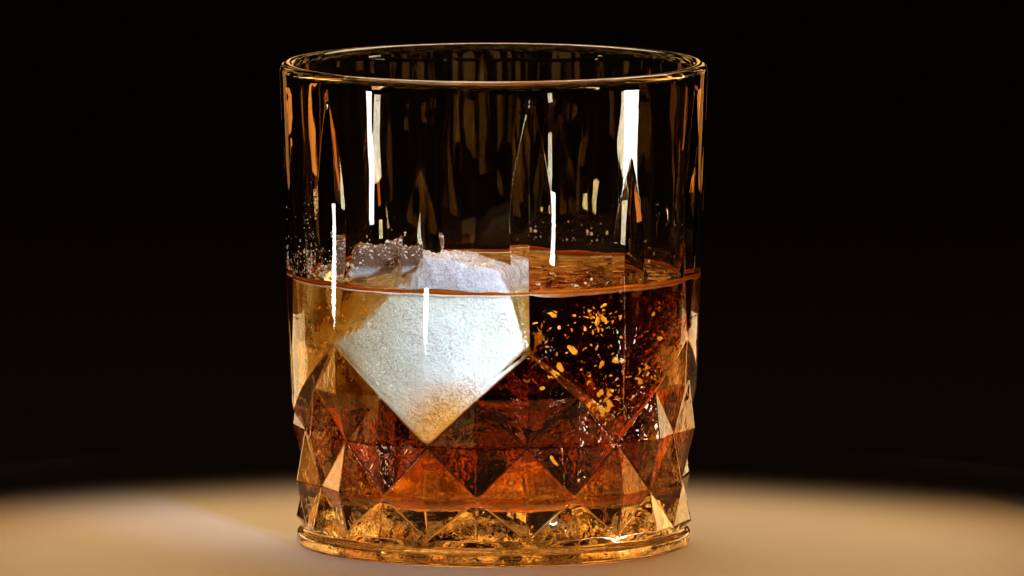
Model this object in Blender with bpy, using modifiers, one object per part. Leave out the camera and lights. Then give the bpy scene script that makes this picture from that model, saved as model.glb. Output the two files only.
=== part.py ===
"""Whisky on the rocks in its cut-pattern tumbler: the glass, the drink and two pieces of ice.

Metres, +Z up. The origin is the centre of the foot's underside. The large piece of ice
stands against the front of the glass, which faces -Y. Azimuths are in degrees from that
front, positive towards +X.
"""

import math

import bmesh
import bpy
from mathutils import Vector, noise

# Glass: a tapered wall on a thick base, with a plain round foot under a groove
GLASS_HEIGHT = 0.095
RIM_RADIUS = 0.042
WALL_FOOT_RADIUS = 0.0388
LIP_RADIUS = 0.00165
FOOT_RADIUS = 0.0387
FOOT_HEIGHT = 0.0032
FOOT_EDGE = 0.0011
GROOVE_RADIUS = 0.0376
GROOVE_HEIGHT = 0.0039
FLOOR_HEIGHT = 0.0108
CAVITY_FOOT_RADIUS = 0.0352
CAVITY_CORNER = 0.0036
TURN_STEPS = 72
ARC_STEPS = 5

# Diamond net: heights of its rows of crossings, and how deep the wall is cut at each
NET_ROWS = (0.0049, 0.0131, 0.0232, 0.0327, 0.0420)
NET_DEPTHS = (0.0015, 0.0021, 0.0021, 0.0014, 0.0)
NET_SPLITS = 3
NET_AZIMUTH = 10.0
NET_PITCH = 15.0
WINDOW_ROW = 2

# Upright lancet cuts, twelve round the wall, tall and short by turns
LANCET_PITCH = 30.0
LANCET_HALF_WIDTH = 0.0041
LANCET_DEPTH = 0.0012
TALL_FOOT = 0.0420
TALL_TIP = 0.0920
SHORT_FOOT = 0.0380
SHORT_TIP = 0.0790
TAIL_DEPTH = 0.00035
WALL_ROWS = (0.0470, 0.0525, 0.0585, 0.0645, 0.0700, 0.0750, 0.0790, 0.0850, 0.0885, 0.0920)
NARROWEST = 1.6

# Drink, and the clearance that it keeps from the glass and the ice
LEVEL = 0.0535
GAP = 0.0003
ICE_PUSH = 0.0004

# Ice: broken blocks with melted edges. Each flat side has a point on it and the way it faces
ICE_BLANK = 0.08
ICE_EDGE = 0.0011
ICE_ROUGHNESS = 0.0003
ICE_GRAIN = 0.011
LARGE_ICE_MIDDLE = (-0.0110, -0.0180, 0.0430)
LARGE_ICE_SIDES = (
    ((-0.0112, -0.0324, 0.0430), (-0.33, -0.95, 0.0)),
    ((-0.0243, -0.0243, 0.0430), (-0.707, -0.707, 0.0)),
    ((0.0042, -0.0341, 0.0430), (0.122, -0.993, 0.0)),
    ((-0.0032, -0.0280, 0.0325), (0.70, -0.05, -0.72)),
    ((-0.0210, -0.0280, 0.0325), (-0.76, -0.05, -0.65)),
    ((0.0048, -0.0250, 0.0500), (0.97, -0.05, 0.25)),
    ((-0.0180, -0.0250, 0.0540), (-0.60, -0.05, 0.80)),
    ((-0.0105, -0.0120, 0.0600), (0.20, -0.04, 0.98)),
    ((-0.0100, -0.0042, 0.0430), (0.10, 1.0, 0.05)),
    ((-0.0130, -0.0280, 0.0232), (0.0, 0.0, -1.0)),
)
SMALL_ICE_MIDDLE = (-0.0185, 0.0115, 0.0435)
SMALL_ICE_SIDES = (
    ((-0.0098, 0.0100, 0.0440), (1.0, -0.10, 0.10)),
    ((-0.0283, 0.0100, 0.0440), (-1.0, 0.15, 0.08)),
    ((-0.0180, 0.0100, 0.0552), (-0.20, 0.08, 0.95)),
    ((-0.0180, 0.0100, 0.0315), (0.10, 0.15, -1.0)),
    ((-0.0180, 0.0010, 0.0440), (0.10, -1.0, 0.0)),
    ((-0.0170, 0.0225, 0.0440), (-0.35, 1.0, 0.05)),
    ((-0.0122, 0.0050, 0.0530), (0.80, -0.30, 0.80)),
    ((-0.0230, 0.0200, 0.0350), (-0.50, 1.0, -0.50)),
)

FACET_ANGLE = 6.5


def clear_scene():
    for found in list(bpy.data.objects):
        bpy.data.objects.remove(found)


def new_collection(name):
    made = bpy.data.collections.new(name)
    bpy.context.scene.collection.children.link(made)
    return made


def principled(name, colour, roughness, **settings):
    """A material with one Principled shader, its inputs set by name."""
    made = bpy.data.materials.new(name)
    made.use_nodes = True
    shader = made.node_tree.nodes["Principled BSDF"]
    shader.inputs["Base Color"].default_value = (*colour, 1.0)
    shader.inputs["Metallic"].default_value = 0.0
    shader.inputs["Roughness"].default_value = roughness
    for key, value in settings.items():
        shader.inputs[key.replace("_", " ")].default_value = value
    return made


def clear_glass():
    return principled("soda lime glass", (1.0, 0.99, 0.97), 0.02, IOR=1.52, Transmission_Weight=1.0)


def amber_whisky():
    return principled("amber whisky", (0.86, 0.42, 0.06), 0.02, IOR=1.36, Transmission_Weight=1.0)


def frosted_ice():
    return principled("frosted ice", (0.90, 0.94, 0.98), 0.35, IOR=1.31, Transmission_Weight=0.6)


def blend(low, high, share):
    return low + (high - low) * share


def wall_radius(height):
    """Outer radius of the uncut wall, a straight taper."""
    return blend(WALL_FOOT_RADIUS, RIM_RADIUS, height / (GLASS_HEIGHT - LIP_RADIUS))


def arc(centre, radius, start, end, steps):
    """Points round part of a circle in the profile plane, from one angle to another."""
    points = []
    for step in range(steps + 1):
        angle = math.radians(blend(start, end, step / steps))
        points.append((centre[0] + radius * math.cos(angle), centre[1] + radius * math.sin(angle)))
    return points


def cavity_profile(clearance):
    """The hollow of the glass from the middle of its floor to where the wall starts to rise."""
    middle = (CAVITY_FOOT_RADIUS - CAVITY_CORNER, FLOOR_HEIGHT + CAVITY_CORNER)
    corner = arc(middle, CAVITY_CORNER - clearance, -90.0, 0.0, ARC_STEPS)
    return [(0.0, FLOOR_HEIGHT + clearance), *corner]


def cavity_radius(height):
    """Inner radius of the wall, a straight taper from the floor's corner to the lip."""
    foot = FLOOR_HEIGHT + CAVITY_CORNER
    top = GLASS_HEIGHT - LIP_RADIUS
    return blend(CAVITY_FOOT_RADIUS, RIM_RADIUS - 2 * LIP_RADIUS, (height - foot) / (top - foot))


def net_heights():
    """Every ring of the diamond net, with each row of cells split evenly."""
    heights = []
    for low, high in zip(NET_ROWS, NET_ROWS[1:]):
        heights += [blend(low, high, step / NET_SPLITS) for step in range(NET_SPLITS)]
    return [*heights, NET_ROWS[-1]]


def foot_profile():
    """The groove and the rounded foot, ending at the middle of the underside."""
    groove = [(GROOVE_RADIUS, GROOVE_HEIGHT), (GROOVE_RADIUS, FOOT_HEIGHT)]
    top = arc((FOOT_RADIUS - FOOT_EDGE, FOOT_HEIGHT - FOOT_EDGE), FOOT_EDGE, 60.0, 0.0, 2)
    low = arc((FOOT_RADIUS - FOOT_EDGE, FOOT_EDGE), FOOT_EDGE, 0.0, -90.0, 3)
    return [*groove, *top, *low, (0.0, 0.0)]


def glass_profile():
    """Up the inside, over the lip, down the outside and under the foot."""
    lip = arc((RIM_RADIUS - LIP_RADIUS, GLASS_HEIGHT - LIP_RADIUS), LIP_RADIUS, 180.0, 0.0, 8)
    heights = sorted({*net_heights(), *WALL_ROWS}, reverse=True)
    wall = [(wall_radius(height), height) for height in heights]
    return [*cavity_profile(0.0), *lip, *wall, *foot_profile()]


def turned(name, profile, collection):
    """The profile turned once round the Z axis, as a mesh."""
    mesh = bpy.data.meshes.new(name)
    edges = [(step, step + 1) for step in range(len(profile) - 1)]
    mesh.from_pydata([(radius, 0.0, height) for radius, height in profile], edges, [])
    made = bpy.data.objects.new(name, mesh)
    collection.objects.link(made)
    screw = made.modifiers.new("turn", "SCREW")
    screw.steps = TURN_STEPS
    screw.render_steps = TURN_STEPS
    screw.use_merge_vertices = True
    screw.merge_threshold = 0.00001
    bpy.context.view_layer.update()
    graph = bpy.context.evaluated_depsgraph_get()
    made.data = bpy.data.meshes.new_from_object(made.evaluated_get(graph))
    made.modifiers.clear()
    bpy.data.meshes.remove(mesh)
    return made


def at(radius, azimuth, height):
    angle = math.radians(azimuth)
    return Vector((radius * math.sin(angle), -radius * math.cos(angle), height))


def azimuth_of(point):
    return math.degrees(math.atan2(point.x, -point.y))


def net_place(azimuth, height):
    """Where a point of the wall lies on the net, in columns across and rows up."""
    across = (azimuth - NET_AZIMUTH) / NET_PITCH
    for row, (low, high) in enumerate(zip(NET_ROWS, NET_ROWS[1:])):
        if height <= high or row == len(NET_ROWS) - 2:
            return across, row + (height - low) / (high - low)


def net_corner(column, row):
    """A corner of the net: cut in where two lines cross, and left at the wall's surface between them."""
    crossing = (column + row) % 2 == 0
    depth = NET_DEPTHS[row] if crossing else 0.0
    height = NET_ROWS[row]
    return at(wall_radius(height) - depth, NET_AZIMUTH + NET_PITCH * column, height)


def on_facet(across, up):
    """A point on the flat facet between one cell's middle and two crossings of the net."""
    column = math.floor(across + 1e-6)
    row = min(math.floor(up + 1e-6), len(NET_ROWS) - 2)
    right = across - column
    rise = up - row
    near = net_corner(column, row)
    beside = net_corner(column + 1, row)
    above = net_corner(column, row + 1)
    far = net_corner(column + 1, row + 1)
    if (column + row) % 2 == 0:
        if right >= rise:
            return near * (1 - right) + beside * (right - rise) + far * rise
        return near * (1 - rise) + above * (rise - right) + far * right
    if right + rise <= 1:
        return near * (1 - right - rise) + beside * right + above * rise
    return far * (right + rise - 1) + beside * (1 - rise) + above * (1 - right)


def in_window(across, up):
    """True between the net's top points, where the wall is left plain down to a V."""
    from_axis = abs((across - WINDOW_ROW + 2) % 4 - 2)
    return up > WINDOW_ROW and from_axis < up - WINDOW_ROW - 1e-3


def line_rises_right(across, up):
    """Which way the net's line runs through this part of a cell, or beside this part of a window."""
    if in_window(across, up):
        return (across - WINDOW_ROW + 2) % 4 > 2
    return (math.floor(across) + math.floor(up)) % 2 == 0


def lancet_at(azimuth):
    """The azimuth of the nearest lancet cut, and its foot and tip."""
    number = round((azimuth - NET_AZIMUTH) / LANCET_PITCH)
    tall = number % 2 == 0
    span = (TALL_FOOT, TALL_TIP) if tall else (SHORT_FOOT, SHORT_TIP)
    return NET_AZIMUTH + LANCET_PITCH * number, tall, *span


def lancet_share(height, foot, tip):
    """How far a lancet cut has opened at a height: nothing at its ends and all of it at the middle."""
    if not foot < height < tip:
        return 0.0
    return math.sin(math.pi * (height - foot) / (tip - foot))


def on_wall(azimuth, height):
    """A point of the wall above the net: the crease, the edge or the plain strip beside a lancet cut."""
    axis, tall, foot, tip = lancet_at(azimuth)
    side = azimuth - axis
    radius = wall_radius(height)
    share = lancet_share(height, foot, tip)
    if abs(side) < 1e-3:
        tail = 0.0 if tall or height > foot + 0.01 else TAIL_DEPTH
        return at(radius - max(LANCET_DEPTH * share, tail), axis, height)
    beside_crease = abs(side) < 1.5 * 360.0 / TURN_STEPS
    if beside_crease and NET_ROWS[-1] < height <= tip:
        half = math.degrees(LANCET_HALF_WIDTH * share / radius)
        side = math.copysign(max(half, NARROWEST), side)
    return at(radius, axis + side, height)


def cut_pattern(bm):
    """Moves the turned wall's points onto the diamond net and the lancet cuts."""
    for vertex in bm.verts:
        height = vertex.co.z
        on_outside = abs(vertex.co.xy.length - wall_radius(height)) < 1e-5
        if not on_outside or not NET_ROWS[0] - 1e-6 < height < TALL_TIP + 1e-6:
            continue
        azimuth = round(azimuth_of(vertex.co), 3)
        across, up = net_place(azimuth, height)
        above_net = height > NET_ROWS[-1] + 1e-6
        if above_net or in_window(across, up):
            vertex.co = on_wall(azimuth, height)
        else:
            vertex.co = on_facet(across, up)


def net_quads(bm):
    """The net's four-sided faces, each with the pair of corners that its line joins."""
    found = []
    for face in bm.faces:
        middle = face.calc_center_median()
        outside = middle.xy.length > cavity_radius(middle.z) + 0.001
        if len(face.verts) != 4 or not outside or not NET_ROWS[0] < middle.z < NET_ROWS[-1]:
            continue
        rises_right = line_rises_right(*net_place(azimuth_of(middle), middle.z))
        corners = sorted(face.verts, key=lambda vertex: vertex.co.z)
        side = middle.to_2d().orthogonal().normalized()
        low = max(corners[:2], key=lambda vertex: vertex.co.xy.dot(side) * (-1 if rises_right else 1))
        high = max(corners[2:], key=lambda vertex: vertex.co.xy.dot(side) * (1 if rises_right else -1))
        found.append((face, low, high))
    return found


def split_along_net(bm):
    """Cuts each four-sided face of the net in two along the diagonal that its line takes."""
    for face, low, high in net_quads(bm):
        bmesh.utils.face_split(face, low, high)


def finish_mesh(made, material, smooth_below):
    made.data.materials.append(material)
    made.data.shade_smooth()
    made.data.set_sharp_from_angle(angle=math.radians(smooth_below))


def make_glass(collection):
    glass = turned("tumbler", glass_profile(), collection)
    bm = bmesh.new()
    bm.from_mesh(glass.data)
    cut_pattern(bm)
    split_along_net(bm)
    bm.to_mesh(glass.data)
    bm.free()
    finish_mesh(glass, clear_glass(), FACET_ANGLE)
    return glass


def drift(place, seed):
    """A smooth offset that wanders between about -1 and 1 on each axis, the same at each run."""
    across = place / ICE_GRAIN
    return Vector([noise.noise(across + Vector((seed, axis * seed, 0.0))) for axis in range(3)])


def ice_mesh(name, middle, sides, seed):
    """A block cut flat at each side, its edges rounded and its corners melted unevenly."""
    middle = Vector(middle)
    bm = bmesh.new()
    bmesh.ops.create_cube(bm, size=ICE_BLANK)
    for point, normal in sides:
        everything = bm.verts[:] + bm.edges[:] + bm.faces[:]
        place = Vector(point) - middle
        cut = bmesh.ops.bisect_plane(
            bm, geom=everything, plane_co=place, plane_no=normal, clear_outer=True, dist=1e-5
        )
        rim = [part for part in cut["geom_cut"] if isinstance(part, bmesh.types.BMEdge)]
        bmesh.ops.contextual_create(bm, geom=rim)
    bmesh.ops.bevel(
        bm, geom=bm.edges[:], offset=ICE_EDGE, segments=2, profile=0.5, affect="EDGES", clamp_overlap=True
    )
    bmesh.ops.remove_doubles(bm, verts=bm.verts, dist=1e-4)
    for vertex in bm.verts:
        vertex.co += drift(vertex.co, seed) * ICE_ROUGHNESS
    bmesh.ops.recalc_face_normals(bm, faces=bm.faces)
    bmesh.ops.triangulate(bm, faces=bm.faces)
    mesh = bpy.data.meshes.new(name)
    bm.to_mesh(mesh)
    bm.free()
    return mesh


def swollen(mesh, name):
    """A copy of a mesh with every point pushed out along its normal."""
    bm = bmesh.new()
    bm.from_mesh(mesh)
    bm.normal_update()
    for vertex in bm.verts:
        vertex.co += vertex.normal * ICE_PUSH
    made = bpy.data.meshes.new(name)
    bm.to_mesh(made)
    bm.free()
    return made


def make_ice(name, mesh, middle, collection, cutters):
    """The piece of ice, and the slightly larger one that clears its place in the drink."""
    ice = bpy.data.objects.new(name, mesh)
    collection.objects.link(ice)
    place = bpy.data.objects.new(name + "_place", swollen(mesh, name + "_place"))
    cutters.objects.link(place)
    place.hide_render = True
    place.display_type = "WIRE"
    for each in (ice, place):
        each.location = middle
    finish_mesh(ice, frosted_ice(), 40.0)
    return place


def make_large_ice(collection, cutters):
    """The block that leans against the front of the glass, stands out of the drink and ends in a
    blunt point."""
    mesh = ice_mesh("ice_large", LARGE_ICE_MIDDLE, LARGE_ICE_SIDES, 3.1)
    return make_ice("ice_large", mesh, LARGE_ICE_MIDDLE, collection, cutters)


def make_small_ice(collection, cutters):
    """The frosted piece behind it, on the left."""
    mesh = ice_mesh("ice_small", SMALL_ICE_MIDDLE, SMALL_ICE_SIDES, 7.7)
    return make_ice("ice_small", mesh, SMALL_ICE_MIDDLE, collection, cutters)


def make_whisky(collection, places):
    """The drink: the hollow of the glass up to the level, less the places of the ice."""
    below = cavity_profile(GAP)
    top = [(0.0, LEVEL), (cavity_radius(LEVEL) - GAP, LEVEL)]
    whisky = turned("whisky", [*top, *reversed(below)], collection)
    for place in places:
        cut = whisky.modifiers.new(place.name, "BOOLEAN")
        cut.operation = "DIFFERENCE"
        cut.solver = "EXACT"
        cut.object = place
    finish_mesh(whisky, amber_whisky(), 30.0)
    return whisky


def main():
    clear_scene()
    drink = new_collection("whisky on the rocks")
    cutters = new_collection("cutters")
    make_glass(drink)
    places = [make_large_ice(drink, cutters), make_small_ice(drink, cutters)]
    make_whisky(drink, places)


main()
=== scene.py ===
"""Whisky on the rocks in its cut-pattern tumbler, as it looks: glass, drink, ice and the wet on the wall.

Metres, +Z up. Azimuths are in degrees round the Z axis from the front, which faces -Y,
positive towards +X.
"""

import math

import bpy
import numpy as np
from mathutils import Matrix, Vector


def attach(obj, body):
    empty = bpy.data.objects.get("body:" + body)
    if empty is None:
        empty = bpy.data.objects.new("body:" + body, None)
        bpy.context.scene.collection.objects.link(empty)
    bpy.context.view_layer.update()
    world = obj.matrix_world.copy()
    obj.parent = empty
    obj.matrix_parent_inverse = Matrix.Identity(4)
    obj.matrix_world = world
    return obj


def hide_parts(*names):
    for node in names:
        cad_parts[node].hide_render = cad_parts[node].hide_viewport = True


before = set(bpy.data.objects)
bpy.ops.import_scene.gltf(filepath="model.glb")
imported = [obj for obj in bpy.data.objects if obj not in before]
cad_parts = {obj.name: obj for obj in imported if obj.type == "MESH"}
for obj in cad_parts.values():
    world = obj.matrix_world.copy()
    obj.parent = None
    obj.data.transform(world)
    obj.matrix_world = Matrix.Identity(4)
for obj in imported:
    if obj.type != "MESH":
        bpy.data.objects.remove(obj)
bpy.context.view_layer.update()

bl_info = {
    "name": "Whisky on the rocks",
    "version": (1, 0, 0),
    "blender": (4, 5, 0),
    "location": "3D View > Sidebar > Drink",
    "description": "Builds a tumbler of whisky with ice, and the stage that shows it",
    "category": "Object",
}

MM = 0.001
SMOOTH = {"interpolation_type": "SMOOTHSTEP"}

# Glass: a tapered wall on a thick base, with a plain round foot under a groove
GLASS_HEIGHT = 0.095
RIM_RADIUS = 0.042
WALL_FOOT_RADIUS = 0.0388
LIP_RADIUS = 0.00165
FOOT_RADIUS = 0.0387
FOOT_HEIGHT = 0.0032
FOOT_EDGE = 0.0011
GROOVE_RADIUS = 0.0376
GROOVE_HEIGHT = 0.0039
FLOOR_HEIGHT = 0.0108
CAVITY_FOOT_RADIUS = 0.0352
CAVITY_CORNER = 0.0036

# Diamond net: heights of its rows of crossings, and how deep the wall is cut at each. The windows
# come to a point at one row, the first at one column and the next ones this many cells on, and
# there their edges slope over a share of a cell
NET_ROWS = np.array([0.0049, 0.0131, 0.0232, 0.0327, 0.0420])
NET_DEPTHS = np.array([0.0015, 0.0021, 0.0021, 0.0014, 0.0])
NET_AZIMUTH = 10.0
NET_PITCH = 15.0
NET_CELLS = 24
TOP_ROW = len(NET_ROWS) - 1
WINDOW_ROW = 2
WINDOW_COLUMN = 2
WINDOW_SPACING = 4
FLANK_WIDTH = 0.45

# Upright lancet cuts, twelve round the wall, tall and short by turns. A short one runs on below its
# foot as a groove, whose half width is in cells of the net
LANCET_HALF_WIDTH = 0.0041
LANCET_DEPTH = 0.0012
TALL_SPAN = (0.0420, 0.0920)
SHORT_SPAN = (0.0380, 0.0790)
TAIL_DEPTH = 0.0004
TAIL_TOP = 0.0480
TAIL_RISE = 0.008
TAIL_HALF = 0.05

# Grids of the glass: steps in a cell of the net, columns in a cell where it is plain, and the top
# of the fine columns. Above the net these gather on the lancet cuts over two heights, crowd at
# creases and edges, and spread at least this many cells to each side of a crease
CELL_STEPS = 24
PLAIN_STEPS = 12
CUT_TOP = 0.0925
GATHER_FOOT = 0.006
GATHER_TOP = 0.004
CROWDING = 0.12
NARROWEST = 0.16

# Grids of the ice, of its places in the drink and of the drink
ICE_STEPS = 288
PLACE_STEPS = 96
DRINK_COLUMNS = 288

# Ice: the middle of each piece, and a point and the direction of each of its flat sides
SHARPNESS = 34.0
WALL_FILM = 0.0006
LARGE_ICE = {
    "middle": (-0.0110, -0.0180, 0.0430),
    "sides": (
        ((-0.0032, -0.028, 0.0325), (0.70, -0.05, -0.72)),
        ((-0.0210, -0.028, 0.0325), (-0.76, -0.05, -0.65)),
        ((0.0048, -0.025, 0.0500), (0.97, -0.05, 0.25)),
        ((-0.0194, -0.025, 0.0535), (-0.78, -0.05, 0.62)),
        ((-0.0105, -0.030, 0.0604), (0.17, 0.05, 0.98)),
        ((-0.0100, -0.0042, 0.0430), (0.10, 1.0, 0.05)),
        ((-0.0130, -0.028, 0.0232), (0.0, 0.0, -1.0)),
    ),
    "seed": 3,
    "crust": 1.8,
}
SMALL_ICE = {
    "middle": (-0.0185, 0.0115, 0.0435),
    "sides": (
        ((-0.0098, 0.010, 0.0440), (1.0, -0.10, 0.10)),
        ((-0.0283, 0.010, 0.0440), (-1.0, 0.15, 0.08)),
        ((-0.0180, 0.010, 0.0584), (-0.16, 0.10, 0.95)),
        ((-0.0180, 0.010, 0.0315), (0.10, 0.15, -1.0)),
        ((-0.0180, 0.001, 0.0440), (0.10, -1.0, 0.0)),
        ((-0.0170, 0.0225, 0.0440), (-0.35, 1.0, 0.05)),
        ((-0.0122, 0.005, 0.0560), (0.80, -0.30, 0.80)),
        ((-0.0230, 0.020, 0.0350), (-0.50, 1.0, -0.50)),
    ),
    "seed": 7,
    "crust": 4.0,
}

# Melted sides wander over 9 mm, and the waves of the skin are 3.5 mm long
MELT_GRAIN = 0.009
WAVE_GRAIN = 0.0035

# The ice reaches this far past its place in the drink, times its crust, so that no air shows
ICE_OVERLAP = 0.00018

# Where the reach of the ice against the wall is looked for: a first guess and the farthest
FIRST_REACH = 0.02
FARTHEST_REACH = 0.08

# Painted golden light on the large ice, strongest at its blunt point against the front wall, standing in for
# light that has come through the drink
PAINTED_GLOW_MIDDLE = (-0.0085, -0.0370, 0.0240)
PAINTED_GLOW_FAR = 0.017
PAINTED_GLOW_NEAR = 0.003

# Above the drink the ice is rougher: where that starts, how fast it grows and how much it adds. It
# turns to dry frost between the last two heights
CROWN_FOOT = 0.0535
CROWN_RISE = 0.0030
CROWN_CRUST = 3.0
FROST_START = 0.0532
FROST_FULL = 0.0548

# Patterns, in cells a metre: waves of 6 mm and cold marks of 2.4 mm in the glass, swirls of 2 mm in
# the drink, and grains of 0.36 mm, pits of 0.7 mm and clouds of 9 mm in the ice
WAVE_SCALE = 160.0
CHILL_SCALE = 420.0
SWIRL_SCALE = 480.0
GRAIN_SCALE = 2800.0
PIT_SCALE = 1500.0
CLOUD_SCALE = 110.0

# The drink's surface: length of its ripples and how much finer they are along each axis, how near
# the wall they calm down, how wide its climb up the wall is, the share of that beside ice, the most
# of it, how its rings crowd outwards, and how far under its edge the rings down the wall start
RIPPLE_GRAIN = 0.0075
RIPPLE_STRETCH = np.array([1.0, 1.9, 1.0])
CALM_WIDTH = 0.006
CLIMB_WIDTH = 0.0009
ICE_CLIMB = 0.8
MOST_CLIMB = 1.2
RING_CROWDING = 1.6
EDGE_DROP = 0.0004

# Sizes of beads: logarithm of the middle radius in millimetres, its spread, least and greatest
DROPLET_SIZES = (-1.8, 0.45, 0.08, 0.5)
FLECK_SIZES = (-1.75, 0.55, 0.07, 0.6)
CRUMB_SIZES = (-1.95, 0.4, 0.07, 0.34)

# Droplets: azimuths from and to, height above the drink where they start, how fast they thin
# out above that, and how many. None is above the top
DROPLET_GROUPS = (
    (-100.0, -44.0, 0.0014, 0.0026, 300),
    (120.0, 168.0, 0.0030, 0.0020, 60),
    (-180.0, 180.0, 0.0018, 0.0014, 90),
)
DROPLET_TOP = 0.068

# Bead of drink at the level: half its depth and half its height, its middle above the drink, how much its
# size and its height wander and over what lengths, its grid, the colour of the painted highlight along its
# lower edge, and its amber
LINE_DEPTH = 0.00032
LINE_HALF = 0.00060
LINE_RISE = 0.00048
LINE_SWELL = 0.45
LINE_WANDER = 0.00012
SWELL_GRAIN = 0.006
WANDER_GRAIN = 0.011
LINE_COLUMNS = 480
LINE_SIDES = 10
LINE_PAINTED_HIGHLIGHT = "#FFF1D8"
LINE_AMBER = "#B8660F"

# Bubbles and chips: place across, height, spread and how many. Then the highest, how far behind
# the wall they start, how quickly they thin out, and how near they come to the sides, as a share
FLECK_GROUPS = (
    (0.0198, 0.0480, 0.0014, 60),
    (0.0210, 0.0316, 0.0012, 46),
    (0.0272, 0.0362, 0.0012, 40),
    (0.0170, 0.0410, 0.0070, 170),
    (-0.0270, 0.0440, 0.0042, 260),
)
FLECK_TOP = 0.0505
FLECK_START = 0.0013
FLECK_FADE = 0.0012
FLECK_SIDE = 0.96

# Crumbs of frost: where the lowest is, on the block above the foot and on the other piece above the
# drink, and how many places are tried
BLOCK_CRUMBS = (0.0578, 3200)
LUMP_CRUMBS = (0.0007, 8000)

# Floor: how far it lies under the foot, how far its pale part, a painted pool of light, is moved to the
# front, where that starts to fade into painted shade and where it ends
FLOOR_DROP = 0.0001
PAINTED_POOL_SHIFT = 0.035
PAINTED_POOL_RADIUS = 0.08
PAINTED_SHADE_RADIUS = 0.165

# Room: how fine its patches are along each axis, and its dark and its lit colour
ROOM_PATCHES = (11, 11, 6)
ROOM_DARK = (0.012, 0.007, 0.004, 1)
ROOM_LIT = (1.25, 0.75, 0.30, 1)

# Lamps: name, azimuth and elevation in degrees, distance from the glass, width and height, watts
# and colour
GLASS_MIDDLE = (0, 0, 0.05)
LAMPS = (
    ("strip", 76, -3.9, 0.38, (0.060, 0.034), 0.11, "#FFFAF4"),
    ("thin_strip", 31, -6.2, 0.36, (0.020, 0.018), 0.022, "#FFFFFF"),
    ("left_strip", -67, -3.5, 0.36, (0.022, 0.030), 0.036, "#FFFFFF"),
    ("side_left", -112, -16, 0.13, (0.08, 0.026), 0.009, "#FFB85C"),
    ("side_back_left", -135, -12, 0.17, (0.09, 0.024), 0.009, "#FFE6B8"),
    ("side_right", 112, -16, 0.13, (0.08, 0.026), 0.009, "#FFB85C"),
    ("side_back_right", 135, -12, 0.17, (0.09, 0.024), 0.009, "#FFE6B8"),
    ("over", 172, 50, 0.42, (0.34, 0.16), 0.70, "#FFE6C6"),
    ("edge_left", -150, 6, 0.60, (0.08, 0.36), 0.07, "#FFB468"),
    ("edge_right", 150, 6, 0.60, (0.08, 0.36), 0.07, "#FFB468"),
    ("streak_left", -167, 5, 0.80, (0.02, 0.30), 0.010, "#FFA24A"),
    ("streak_right", 167, 5, 0.80, (0.02, 0.30), 0.010, "#FFA24A"),
)

# Narrow beam on the ice: azimuth in degrees, elevation in radians, distance from the glass, target,
# watts, colour, spread and size
BEAM_AZIMUTH = 18
BEAM_ELEVATION = 0.26
BEAM_DISTANCE = 0.9
BEAM_TARGET = (-0.010, -0.026, 0.045)
BEAM_POWER = 26.5
BEAM_COLOUR = "#A8C6FF"
BEAM_SPREAD = math.radians(8)
BEAM_SIZE = 0.0015

# Camera: its lens in millimetres, and the point it looks at
LENS = 502.0
CAMERA_TARGET = (0.0036, 0.0, 0.0504)


def linear(text):
    """An sRGB hex colour as linear red, green and blue, with full alpha."""
    values = np.array([int(text[i : i + 2], 16) for i in (1, 3, 5)]) / 255
    low = values / 12.92
    high = ((values + 0.055) / 1.055) ** 2.4
    return (*(float(x) for x in np.where(values <= 0.04045, low, high)), 1.0)


def blend(low, high, share):
    """The value this share of the way from low to high."""
    return low + (high - low) * share


def ease(share):
    """Goes from 0 to 1 with level ends."""
    share = np.clip(share, 0, 1)
    return share * share * (3 - 2 * share)


def at(radius, azimuth, height):
    """Points from cylinder coordinates, the azimuth in degrees from the front."""
    angle = np.radians(azimuth)
    radius, angle, height = np.broadcast_arrays(radius, angle, height)
    return np.stack([radius * np.sin(angle), -radius * np.cos(angle), height], axis=-1)


def wall_radius(height):
    """Outer radius of the uncut wall, a straight taper."""
    return blend(WALL_FOOT_RADIUS, RIM_RADIUS, height / (GLASS_HEIGHT - LIP_RADIUS))


def cavity_radius(height):
    """Inner radius of the wall, a straight taper from the floor's corner to the lip."""
    foot = FLOOR_HEIGHT + CAVITY_CORNER
    top = GLASS_HEIGHT - LIP_RADIUS
    return blend(CAVITY_FOOT_RADIUS, RIM_RADIUS - 2 * LIP_RADIUS, (height - foot) / (top - foot))


def arc(centre, radius, start, end, steps):
    """Points round part of a circle in the profile plane, from one angle to another."""
    angle = np.radians(np.linspace(start, end, steps + 1))
    return np.stack([centre[0] + radius * np.cos(angle), centre[1] + radius * np.sin(angle)], axis=1)


def smooth_noise(points, grain, seed):
    """Value noise: random values at the corners of a lattice, blended with eased weights."""
    table = np.random.default_rng(seed).uniform(-1, 1, 4096)
    place = points / grain + 100.0
    corner = np.floor(place).astype(int)
    share = ease(place - corner)
    total = 0.0
    for step in np.ndindex(2, 2, 2):
        key = corner + np.array(step)
        index = (key[..., 0] * 73 + key[..., 1] * 1559 + key[..., 2] * 3571) % 4096
        weight = np.where(np.array(step) == 1, share, 1 - share).prod(axis=-1)
        total = total + table[index] * weight
    return total


def layered_noise(points, grain, seed, layers=3):
    """Smooth noise with finer and fainter layers on top, each half the last."""
    return sum(smooth_noise(points, grain / 2**i, seed + i) / 2**i for i in range(layers))


def finish_piece(name, points, faces, material, smooth=True):
    """An object at the origin with this mesh and material, its faces smooth or flat."""
    mesh = bpy.data.meshes.new(name)
    mesh.from_pydata(points.tolist(), [], faces.tolist())
    mesh.validate()
    if smooth:
        mesh.polygons.foreach_set("use_smooth", np.ones(len(mesh.polygons), bool))
    mesh.update()
    mesh.materials.append(material)
    made = bpy.data.objects.new(name, mesh)
    bpy.context.scene.collection.objects.link(made)
    return made


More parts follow.
